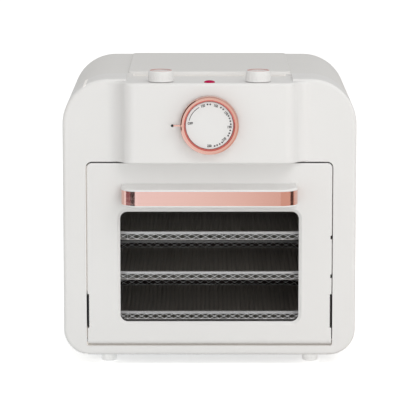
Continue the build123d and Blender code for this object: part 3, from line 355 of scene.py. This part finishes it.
lit_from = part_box("rack_top_rim")[0].y + 0.004
lit_depth = 0.05
for mat in (chromed_wire, bright_mesh):
    tree = mat.node_tree
    strength = tree.nodes["Principled BSDF"].inputs["Emission Strength"]
    fade = add_node(tree, "MapRange", {"From Min": lit_from, "From Max": lit_from + lit_depth})
    fade.inputs["To Min"].default_value = strength.default_value
    fade.inputs["To Max"].default_value = 0.0
    tree.links.new(place_of(tree)["Y"], fade.inputs["Value"])
    tree.links.new(fade.outputs["Result"], strength)
print("wire is lit from", round(lit_from, 4), "for", lit_depth, "m")

# %% [markdown]
# Some parts need a second tone on part of them, mostly painted shade or a painted reflection, and a slit
# two millimetres wide shows only a strip of a part. A mask picks such a strip: it is 1 where a point lies
# on the given side of every limit. With a mask, one helper lays a tint over a strip and the other gives
# strips a faint glow, which is painted light.


# %% Masks, tints and glows
def within(tree, limits):
    place = place_of(tree)
    inside = 1.0
    for axis, side, value in limits:
        inside = maths(tree, "MULTIPLY", inside, maths(tree, side, place[axis], value))
    return inside


def variant(mat, name):
    copy = mat.copy()
    copy.name = name
    return copy


def lay_tint(mat, mask, tint):
    tree = mat.node_tree
    colour = tree.nodes["Principled BSDF"].inputs["Base Color"]
    mix = tree.nodes.new("ShaderNodeMix")
    mix.data_type = "RGBA"
    tree.links.new(mask, mix.inputs["Factor"])
    tree.links.new(colour.links[0].from_socket, mix.inputs["A"])
    mix.inputs["B"].default_value = (*tint, 1.0)
    tree.links.new(mix.outputs["Result"], colour)


def glow_within(mat, zones):
    # Each zone is a strength and the limits that it lies within
    tree = mat.node_tree
    total = 0.0
    for strength, limits in zones:
        total = maths(tree, "MULTIPLY_ADD", within(tree, limits), strength, total)
    base = tree.nodes["Principled BSDF"]
    tree.links.new(total, base.inputs["Emission Strength"])
    return base.inputs["Emission Color"]


# %% [markdown]
# At the right of the door two small dark marks sit in the slit. The slit shows the door's edge, the
# jamb and the liner one behind the other, so all three carry the marks. The camera looks down, so
# a surface nearer to it carries them a little higher.

# %% Where the marks and the slots are
door_low, door_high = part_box("door_frame")
liner_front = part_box("cavity_liner")[0].y
slot_low, slot_high = 0.0405, 0.0815
mark_heights = (0.1464, 0.1006)
mark_tall = 0.0042


def add_marks(mat, rise, limits):
    for height in mark_heights:
        foot = height + rise
        ends = [("Z", "GREATER_THAN", foot), ("Z", "LESS_THAN", foot + mark_tall)]
        lay_tint(mat, within(mat.node_tree, limits + ends), (0.003, 0.003, 0.003))


print("door from", round(door_low.z, 4), "to", round(door_high.z, 4))

# %% [markdown]
# The liner's front flange closes the gap round the door. It is pale at the sides and below, and dark above
# the door like the cavity behind, which is painted shade: the deep slit above the door reads dark. The
# pale part has a faint painted glow, standing for the light that a slit between white walls takes from all
# sides, most at the left above the slot.

# %% Liner with painted shade and a painted glow
liner_paint = variant(dark_enamel, "liner_enamel_painted_light")
flange_back = liner_front + 0.0012
pale_flange_painted_glow = [("Y", "LESS_THAN", flange_back), ("Z", "LESS_THAN", door_high.z - 0.006)]
upper_left = [("X", "LESS_THAN", 0.0), ("Z", "GREATER_THAN", slot_high)]
lay_tint(liner_paint, within(liner_paint.node_tree, pale_flange_painted_glow), (0.86, 0.82, 0.78))
add_marks(liner_paint, 0.0, [("X", "GREATER_THAN", door_high.x - 0.001)])
# Painted light: a faint glow on the pale flange, stronger at the left above the slot.
liner_painted_glow = glow_within(liner_paint, [(0.3, pale_flange_painted_glow), (0.2, pale_flange_painted_glow + upper_left)])
liner_colour = liner_paint.node_tree.nodes["Principled BSDF"].inputs["Base Color"].links[0].from_socket
liner_paint.node_tree.links.new(liner_colour, liner_painted_glow)
print("liner pale in front of", round(flange_back, 4))

# %% [markdown]
# The door's upper edge is painted dark behind its rounded front as painted shade, so the slit above the
# door reads as a thin black line, as a deep slit does.

# %% Door with painted shade on its upper edge
door_paint = variant(white_moulding, "door_moulding_painted_shade")
painted_shade_from = door_high.z - 0.0004
painted_shade_upper_edge = [("Z", "GREATER_THAN", painted_shade_from), ("Y", "GREATER_THAN", door_low.y + 0.0012)]
# Painted shade: the upper edge is tinted near black so the deep slit above the door reads dark.
lay_tint(door_paint, within(door_paint.node_tree, painted_shade_upper_edge), (0.02, 0.018, 0.016))
door_edge = [("X", "GREATER_THAN", door_high.x - 0.0017), ("Y", "LESS_THAN", door_low.y + 0.006)]
add_marks(door_paint, 0.0029, door_edge)
print("door edge dark above", round(painted_shade_from, 4))

# %% [markdown]
# Three narrow strips of the front housing would go nearly black, although pale surfaces round them
# throw light in: the sill in the slit under the door, the left jamb above and below its slot, and
# the seam in front of the top cover. A faint warm glow stands for that light, and the cover's lip
# gets a weaker one. The strips beside the door are a little wider than the slit, and the limits at
# the jamb's slot lie a little higher than those on the liner, as the marks do.

# %% Strips that catch thrown light
cover_low, cover_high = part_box("top_cover")
strip_wide = 0.0035
slot_rise = 0.0035
in_slit = ("Y", "GREATER_THAN", door_low.y + 0.001)
sill = [("Z", "LESS_THAN", door_low.z), ("Z", "GREATER_THAN", door_low.z - strip_wide),
        ("Y", "GREATER_THAN", door_low.y + 0.0008)]
seam = [("Y", "GREATER_THAN", cover_low.y - 0.0012), ("Y", "LESS_THAN", cover_low.y + 0.008),
        ("Z", "GREATER_THAN", cover_high.z - 0.016),
        ("X", "GREATER_THAN", cover_low.x + 0.006), ("X", "LESS_THAN", cover_high.x - 0.006)]
left_jamb = [("X", "LESS_THAN", door_low.x), ("X", "GREATER_THAN", door_low.x - strip_wide), in_slit]
over_slot = left_jamb + [("Z", "GREATER_THAN", slot_high + slot_rise)]
under_slot = left_jamb + [("Z", "LESS_THAN", slot_low + slot_rise)]
right_jamb = [("X", "GREATER_THAN", door_high.x), ("X", "LESS_THAN", door_high.x + strip_wide), in_slit]
lip = [("Y", "LESS_THAN", cover_low.y + 0.004)]

housing_paint = variant(white_moulding, "housing_moulding")
housing_strips = [(0.11, sill), (0.2, seam), (0.2, over_slot), (0.25, under_slot)]
glow_within(housing_paint, housing_strips).default_value = (1.0, 0.91, 0.82, 1.0)
add_marks(housing_paint, 0.0021, right_jamb)
cover_paint = variant(white_coat, "cover_powder_coat")
glow_within(cover_paint, [(0.06, lip)]).default_value = (1.0, 0.98, 0.96, 1.0)
print("top cover starts at", round(cover_low.y, 4))

# %% [markdown]
# The dial's ring has a flat front and a sloped inner edge, which looks redder because it mirrors the metal
# opposite as well as the light. That redder tone is a painted reflection in the inner edge's colour,
# chosen by the distance from the dial's centre.

# %% Painted reflection on the dial ring's inner edge
inner_edge = 0.0294
ring_painted_reflection = variant(rose_gold, "rose_gold_ring_painted_reflection")
ring_tree = ring_painted_reflection.node_tree
ring_low, ring_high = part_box("dial_ring")
ring_centre = (ring_low + ring_high) / 2
from_centre = add_node(ring_tree, "Mapping", {"Scale": (1.0, 0.0, 1.0)})
from_centre.inputs["Location"].default_value = (-ring_centre.x, 0.0, -ring_centre.z)
ring_tree.links.new(own_place(ring_tree), from_centre.inputs["Vector"])
distance = add_node(ring_tree, "VectorMath")
distance.operation = "LENGTH"
ring_tree.links.new(from_centre.outputs["Vector"], distance.inputs[0])
inner = maths(ring_tree, "LESS_THAN", distance.outputs["Value"], inner_edge)
# Painted reflection: the inner edge is tinted redder for the metal that it mirrors.
lay_tint(ring_painted_reflection, inner, (0.72, 0.17, 0.14))
print("ring redder within", inner_edge, "m")

# %% [markdown]
# Clear glass would take a long time to light the cavity behind it. A thin pane hardly bends light,
# so it can be a plain see-through surface with a weak mirror on top, stronger at a glancing view.

# %% Window glass
glass = bpy.data.materials.new("window_pane")
glass.use_nodes = True
glass_tree = glass.node_tree
pane = glass_tree.nodes["Principled BSDF"]
pane.inputs["Base Color"].default_value = (0.01, 0.01, 0.01, 1.0)
pane.inputs["Roughness"].default_value = 0.03
clear = add_node(glass_tree, "BsdfTransparent", {"Color": (0.94, 0.935, 0.925, 1.0)})
weak = add_node(glass_tree, "Fresnel", {"IOR": 1.45})
pane_mix = add_node(glass_tree, "MixShader")
glass_tree.links.new(weak.outputs[0], pane_mix.inputs["Fac"])
glass_tree.links.new(clear.outputs[0], pane_mix.inputs[1])
glass_tree.links.new(pane.outputs[0], pane_mix.inputs[2])
glass_tree.links.new(pane_mix.outputs[0], glass_tree.nodes["Material Output"].inputs["Surface"])
print("glass made")

# %% [markdown]
# Each solid part now gets its finish. The list goes by finish, so parts that are made of the same
# stuff on the real oven stand together.

# %% Give every solid part its finish
finishes = [
    (housing_paint, "front_housing"),
    (door_paint, "door_frame"),
    (white_moulding, "handle_grip function_knob timer_knob"),
    (cover_paint, "top_cover"),
    (white_coat, "housing_shell rear_cover base_plate"),
    (white_foot, "feet"),
    (dial_white, "dial_face"),
    (knob_cap, "function_knob_cap timer_knob_cap"),
    (ring_painted_reflection, "dial_ring"),
    (rose_gold, "dial_pointer"),
    (rose_band, "handle_band"),
    (dusty_rose, "function_knob_trim timer_knob_trim"),
    (lens_red, "indicator_lens"),
    (glass, "window_glass"),
    (silicone, "door_seal"),
    (liner_paint, "cavity_liner"),
    (dark_enamel, "door_inner_panel crumb_tray"),
    (bare_steel, "rack_guide_left rack_guide_right fan_housing fan_guard motor_bridge"),
    (bare_steel, "hinge_brackets hinge_pins hinge_springs rear_screws handle_screws"),
    (bare_steel, "fan_shaft convection_fan function_knob_shaft timer_knob_shaft dial_post"),
    (oxide_tube, "heater_coil"),
    (grey_paint, "fan_motor"),
    (black_mould, "thermostat function_switch timer cooling_fan dial_hub indicator_lamp"),
    (black_mould, "cord_inlet door_hinge_arms"),
    (chromed_wire, "rack_top_rim rack_middle_rim rack_bottom_rim"),
    (floor_mesh_wire, "rack_top_mesh rack_middle_mesh rack_bottom_mesh"),
    (bright_mesh, "rack_top_wall rack_middle_wall rack_bottom_wall"),
]
finish_of = {name: paint for paint, names in finishes for name in names.split()}
for name, part in nodes.items():
    part.data.materials.clear()
    part.data.materials.append(finish_of[name])
print(len(finish_of), "parts finished")

# %% [markdown]
# The racks are trays of expanded metal: a sheet is slit and stretched until it opens into a net of
# diamonds. A grid turned by 45 degrees has the same net, so its edges are turned into thin
# strands. The flat floor is one net, cut to the tray's outline, and the low wall is a second net
# wrapped round it.

# %% Sizes of the net
diamond = 0.0107
strand = 0.0012
net_inset = 0.0008
tray_corner = 0.0225


def net(width, depth, long_way, short_way):
    # A flat grid turned by 45 degrees and stretched, then trimmed to width by depth
    count = int(max(width / long_way, depth / short_way)) * 2 + 6
    bm = bmesh.new()
    bmesh.ops.create_grid(bm, x_segments=count, y_segments=count, size=count / 2)
    eighth_turn = Matrix.Rotation(math.radians(45), 3, "Z")
    bmesh.ops.rotate(bm, verts=bm.verts, cent=(0, 0, 0), matrix=eighth_turn)
    stretch = (long_way / math.sqrt(2), short_way / math.sqrt(2), 1)
    bmesh.ops.scale(bm, verts=bm.verts, vec=stretch)
    for x, y in ((1, 0), (-1, 0), (0, 1), (0, -1)):
        side = (x * width / 2, y * depth / 2, 0)
        everything = bm.verts[:] + bm.edges[:] + bm.faces[:]
        bmesh.ops.bisect_plane(bm, geom=everything, plane_co=side, plane_no=(x, y, 0), clear_outer=True)
    return bm


def net_place(name):
    # Width and depth of the net in a part of a tray, and the middle that it is set on
    low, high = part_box(name)
    w = high.x - low.x - 2 * net_inset
    d = high.y - low.y - 2 * net_inset
    return w, d, (low.y + high.y) / 2, (low.z + high.z) / 2


print("strands", strand, "m thick, diamonds", diamond, "m wide")

# %% [markdown]
# A new piece rides on the body that carries it, has a named slot for its material and stands in for
# the plain solid that it replaces. Its normals are turned outwards before it becomes a mesh.


# %% Hand a new piece over
def new_piece(name, bm, paint, body):
    bmesh.ops.recalc_face_normals(bm, faces=bm.faces)
    piece = show(name, bm)
    piece.data.materials.append(paint)
    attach(piece, body)
    print(name, len(piece.data.polygons), "faces")
    return piece


def to_strands(bm, thickness):
    bmesh.ops.wireframe(bm, faces=bm.faces, thickness=thickness, use_replace=True,
                        use_boundary=True, use_even_offset=False)


# %% [markdown]
# The floor's net is cut square, so its corners stick out of the tray. Points that lie just outside
# the rounded corner are drawn in onto it, and those that lie further out are deleted.


# %% The floor of a tray
floor_squash = 0.62
floor_strand = strand * 0.8
draw_in_within = diamond * 0.5


def mesh_floor(level):
    w, d, middle_y, middle_z = net_place("rack_" + level + "_mesh")
    bm = net(w, d, diamond, diamond * floor_squash)
    outside = []
    for v in bm.verts:
        dx = abs(v.co.x) - (w / 2 - tray_corner)
        dy = abs(v.co.y) - (d / 2 - tray_corner)
        away = math.hypot(dx, dy)
        if dx > 0 and dy > 0 and away > tray_corner:
            if away - tray_corner > draw_in_within:
                outside.append(v)
            else:
                v.co.x = math.copysign(w / 2 - tray_corner + dx * tray_corner / away, v.co.x)
                v.co.y = math.copysign(d / 2 - tray_corner + dy * tray_corner / away, v.co.y)
    bmesh.ops.delete(bm, geom=outside, context="VERTS")
    bmesh.ops.translate(bm, verts=bm.verts, vec=(0, middle_y, middle_z))
    to_strands(bm, floor_strand)
    piece = new_piece("mesh_floor_" + level, bm, floor_mesh_wire, "rack_" + level)
    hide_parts("rack_" + level + "_mesh")


print("floor strands", round(floor_strand, 5), "m thick")

# %% [markdown]
# The wall of the tray is a straight strip of the same net, bent round the tray's rounded outline.
# Each point keeps its height and is carried along the outline by its distance from the start, so a
# function has to tell where a distance along the outline ends up.


# %% The way round the tray
def outline_point(s, w, d, r):
    # Where a point lies after s metres along a rounded rectangle
    flat_x = w / 2 - r
    flat_y = d / 2 - r
    starts = ((-flat_x, -d / 2), (w / 2, -flat_y), (flat_x, d / 2), (-w / 2, flat_y))
    ways = ((1, 0), (0, 1), (-1, 0), (0, -1))
    lengths = (2 * flat_x, 2 * flat_y, 2 * flat_x, 2 * flat_y)
    centres = ((flat_x, -flat_y), (flat_x, flat_y), (-flat_x, flat_y), (-flat_x, -flat_y))
    quarter = math.pi * r / 2
    for side in range(4):
        if s <= lengths[side]:
            return starts[side][0] + ways[side][0] * s, starts[side][1] + ways[side][1] * s
        s -= lengths[side]
        if s <= quarter:
            turn = -math.pi / 2 + side * math.pi / 2 + s / r
            return centres[side][0] + r * math.cos(turn), centres[side][1] + r * math.sin(turn)
        s -= quarter
    return outline_point(max(s, 0.0), w, d, r)


print("outline starts at", outline_point(0.0, 0.2, 0.2, tray_corner), "for a tray 0.2 m square")

# %% [markdown]
# One row of diamonds fills the height of the wall, with a whole number of them round the tray, so
# the net closes on itself. Where its two ends meet, their points are merged.

# %% The wall of a tray
rim_seat = 0.0004
row_share = 0.98
wall_strand = strand * 0.6
merge_within = 0.0002


def mesh_wall(level):
    name = "rack_" + level + "_wall"
    low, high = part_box(name)
    tall = high.z - low.z - rim_seat
    w, d, middle_y, middle_z = net_place(name)
    around = 2 * (w - 2 * tray_corner) + 2 * (d - 2 * tray_corner) + 2 * math.pi * tray_corner
    cell = around / round(around / diamond)
    bm = net(around, tall, cell, tall * row_share)
    for v in bm.verts:
        along = min(max(v.co.x + around / 2, 0.0), around)
        x, y = outline_point(along, w, d, tray_corner)
        v.co = (x, y + middle_y, middle_z + v.co.y)
    bmesh.ops.remove_doubles(bm, verts=bm.verts, dist=merge_within)
    to_strands(bm, wall_strand)
    piece = new_piece("mesh_wall_" + level, bm, bright_mesh, "rack_" + level)
    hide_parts(name)


print("wall strands", round(wall_strand, 5), "m thick")

# %% [markdown]
# The oven has three racks of the same make. One loop makes the floor and the wall of each in turn,
# and both ride on their own rack, so they slide out with it.

# %% Three mesh trays
for level in ("top", "middle", "bottom"):
    mesh_floor(level)
    mesh_wall(level)

# %% [markdown]
# The dial's face carries a plain scale: an arc from OFF to the first number, then numbers with
# small dots between them. Letters start as a text curve, become a mesh, and are set down on the
# face just proud of it, so they read as ink. Each word has its angle clockwise from the top, its
# distance from the dial's centre and its own tilt.

# %% Words on the dial
face_low, face_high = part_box("dial_face")
dial_x = (face_low.x + face_high.x) / 2
dial_z = (face_low.z + face_high.z) / 2
ink_thick = 0.00012
ink_y = face_low.y - ink_thick
word_tall = 0.0041
word_narrow = 0.82
stroke_gain = 0.00012
upright = Matrix.Rotation(math.radians(90), 4, "X")


def on_dial(clock, radius):
    # A place on the face, at an angle in degrees that runs clockwise from the top
    turn = math.radians(clock)
    return Matrix.Translation((dial_x + radius * math.sin(turn), ink_y, dial_z + radius * math.cos(turn)))


def add_word(bm, word, clock, radius, tilt):
    curve = bpy.data.curves.new("word", "FONT")
    curve.body = word
    curve.size = word_tall
    curve.align_x = "CENTER"
    curve.align_y = "CENTER"
    curve.extrude = ink_thick / 2
    curve.offset = stroke_gain
    curve.resolution_u = 3
    holder = bpy.data.objects.new("word", curve)
    mesh = bpy.data.meshes.new_from_object(holder)
    turned = Matrix.Rotation(math.radians(tilt), 4, "Y")
    narrow = Matrix.Scale(word_narrow, 4, (1, 0, 0))
    mesh.transform(on_dial(clock, radius) @ turned @ upright @ narrow)
    bm.from_mesh(mesh)
    bpy.data.objects.remove(holder)
    bpy.data.meshes.remove(mesh)


words = [("OFF", 275.8, 0.0221, 0), ("120", 341.3, 0.0236, -14), ("150", 17.7, 0.0236, 18),
         ("170", 53.3, 0.0234, 48), ("190", 94.8, 0.0228, 0), ("210", 134.0, 0.0233, -42),
         ("230", 180.4, 0.0236, 0)]
ink = bmesh.new()
for word in words:
    add_word(ink, *word)
print(len(words), "words on the dial")

# %% [markdown]
# The dots are short cylinders. The arc is a short upright line at its start, spun about the dial's
# centre into a ribbon and then thickened, so it has the same depth as the letters.

# %% Dots and arc
dot_ring = 0.0243
dot_radius = 0.00095
dot_clocks = (354.6, 1.9, 32.2, 40.2, 63.3, 70.4, 78.3, 86.3, 103.4, 111.6, 118.8, 143.4, 151.3,
              158.9, 165.9)
for clock in dot_clocks:
    bmesh.ops.create_cone(ink, cap_ends=True, segments=10, radius1=dot_radius, radius2=dot_radius,
                          depth=ink_thick, matrix=on_dial(clock, dot_ring) @ upright)

arc_inner, arc_outer = 0.02355, 0.02425
arc_start, arc_turn = 284.0, 46.0
arc_thick = 0.0001
centre = (dial_x, 0, dial_z)
arc = bmesh.new()
ends = [arc.verts.new((dial_x, ink_y + ink_thick / 2, dial_z + r)) for r in (arc_inner, arc_outer)]
line = arc.edges.new(ends)
to_start = Matrix.Rotation(math.radians(arc_start), 3, "Y")
bmesh.ops.rotate(arc, verts=ends, cent=centre, matrix=to_start)
bmesh.ops.spin(arc, geom=ends + [line], cent=centre, axis=(0, 1, 0), angle=math.radians(arc_turn),
               steps=24, use_merge=False)
raised = bmesh.ops.extrude_face_region(arc, geom=arc.faces[:])
raised_verts = [g for g in raised["geom"] if isinstance(g, bmesh.types.BMVert)]
bmesh.ops.translate(arc, verts=raised_verts, vec=(0, -arc_thick, 0))
arc_mesh = bpy.data.meshes.new("arc")
arc.to_mesh(arc_mesh)
arc.free()
ink.from_mesh(arc_mesh)
bpy.data.meshes.remove(arc_mesh)
new_piece("dial_print", ink, print_ink, "oven")

# %% [markdown]
# The indicator's lens is a low dome on the deck between the knobs. Half of its outline is drawn from
# the rim to the crown and turned once round the upright axis, and the open foot is then closed.

# %% Indicator lens
lens_low, lens_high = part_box("indicator_lens")
lens_middle = (lens_low + lens_high) / 2
lens_r = (lens_high.x - lens_low.x) / 2
dome_tall = 0.0028
deck_z = lens_high.z - dome_tall
sunk = 0.0006
proud = 0.0001
crown = 0.0024
sides = 8
lens = bmesh.new()
outline = [lens.verts.new((lens_r, 0.0, deck_z - sunk))]
for i in range(sides + 1):
    turn = math.radians(90) * i / sides
    outline.append(lens.verts.new((lens_r * math.cos(turn), 0.0, deck_z + proud + crown * math.sin(turn))))
edges = [lens.edges.new(pair) for pair in zip(outline, outline[1:])]
bmesh.ops.spin(lens, geom=outline + edges, cent=(0, 0, 0), axis=(0, 0, 1), angle=math.radians(360),
               steps=48, use_merge=True)
bmesh.ops.remove_doubles(lens, verts=lens.verts, dist=0.00001)
bmesh.ops.holes_fill(lens, edges=[e for e in lens.edges if e.is_boundary], sides=0)
bmesh.ops.translate(lens, verts=lens.verts, vec=(lens_middle.x, lens_middle.y, 0))
button = new_piece("lens_button", lens, lens_red, "oven")
for face in button.data.polygons:
    face.use_smooth = True
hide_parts("indicator_lens")

# %% [markdown]
# A small black dot marks the tip of the pointer. It is a thin disc whose front rim is bevelled, so
# it catches a little light as a drop of enamel does.

# %% Dot on the pointer
tip_low, tip_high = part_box("dial_pointer")
enamel_r = 0.0016
enamel_thick = 0.0005
from_tip = 0.0015
proud = 0.0001
tip = Matrix.Translation((tip_low.x + from_tip, tip_low.y - proud, (tip_low.z + tip_high.z) / 2))
dot = bmesh.new()
bmesh.ops.create_cone(dot, cap_ends=True, segments=24, radius1=enamel_r, radius2=enamel_r,
                      depth=enamel_thick, matrix=tip @ upright)
front = tip_low.y - proud - enamel_thick / 2
front_rim = [e for e in dot.edges if all(abs(v.co.y - front) < 0.00002 for v in e.verts)]
bmesh.ops.bevel(dot, geom=front_rim, offset=0.00015, affect="EDGES", segments=2, profile=0.5, material=-1)
new_piece("pointer_dot", dot, print_ink, "dial")

# %% [markdown]
# The Standard view keeps the colours as they were set. The last lines write down the size of the
# solids and of the dressed oven, and hand the scene over.

# %% Standard view
bpy.context.scene.view_settings.view_transform = "Standard"
